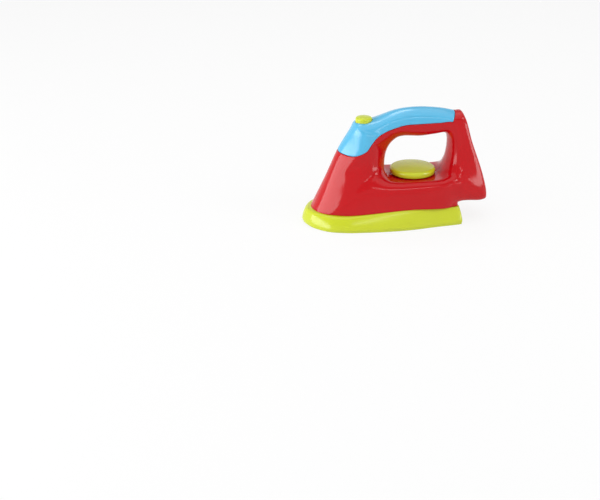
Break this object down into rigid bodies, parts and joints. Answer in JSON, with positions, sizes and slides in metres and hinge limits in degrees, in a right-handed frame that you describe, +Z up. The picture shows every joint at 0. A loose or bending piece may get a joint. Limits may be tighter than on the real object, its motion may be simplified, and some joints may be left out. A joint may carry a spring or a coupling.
{
  "type": "toy iron",
  "caption": "Toy clothes iron with an open handle, a domed dial that turns and clicks under the handle, and a sprung push button on its nose.",
  "frame": {"origin": "middle of the bounding box in plan, on the plane that the sole rests on", "axes": "+X towards the nose, +Y to the iron's left side, +Z up from the sole"},
  "size_m": [0.1733, 0.0816, 0.1075],
  "materials": {
    "red_shell": "glossy",
    "blue_cover": "glossy",
    "lime_trim": "glossy",
    "white_inner": "matte",
    "zinc_steel": "zinc plated"
  },
  "bodies": {
    "iron": {"left_housing": "red_shell", "right_housing": "red_shell", "handle_cover": "blue_cover", "sole_skirt": "lime_trim", "soleplate": "lime_trim", "dial_bearing": "white_inner", "click_spring": "zinc_steel", "click_spring_screw": "zinc_steel", "button_spring": "zinc_steel", "button_guide": "white_inner", "guide_screws": "zinc_steel", "housing_screws": "zinc_steel", "sole_screws": "zinc_steel", "cover_screws": "zinc_steel"},
    "dial": {"dial_knob": "lime_trim", "click_wheel": "white_inner", "dial_washer": "zinc_steel", "dial_screw": "zinc_steel"},
    "button": {"steam_button": "lime_trim", "button_washer": "zinc_steel", "button_screw": "zinc_steel"}
  },
  "joints": [
    {"name": "dial_turn", "type": "hinge", "parent": "iron", "child": "dial", "pos_m": [-0.018, 0, 0.045], "axis": [0, 0, 1], "continuous": true},
    {"name": "button_press", "type": "slide", "parent": "iron", "child": "button", "axis": [0, 0, -1], "range_m": [0, 0.003], "stiffness_N_per_m": 300, "springref_m": -0.003, "deforming": ["button_spring"]}
  ]
}
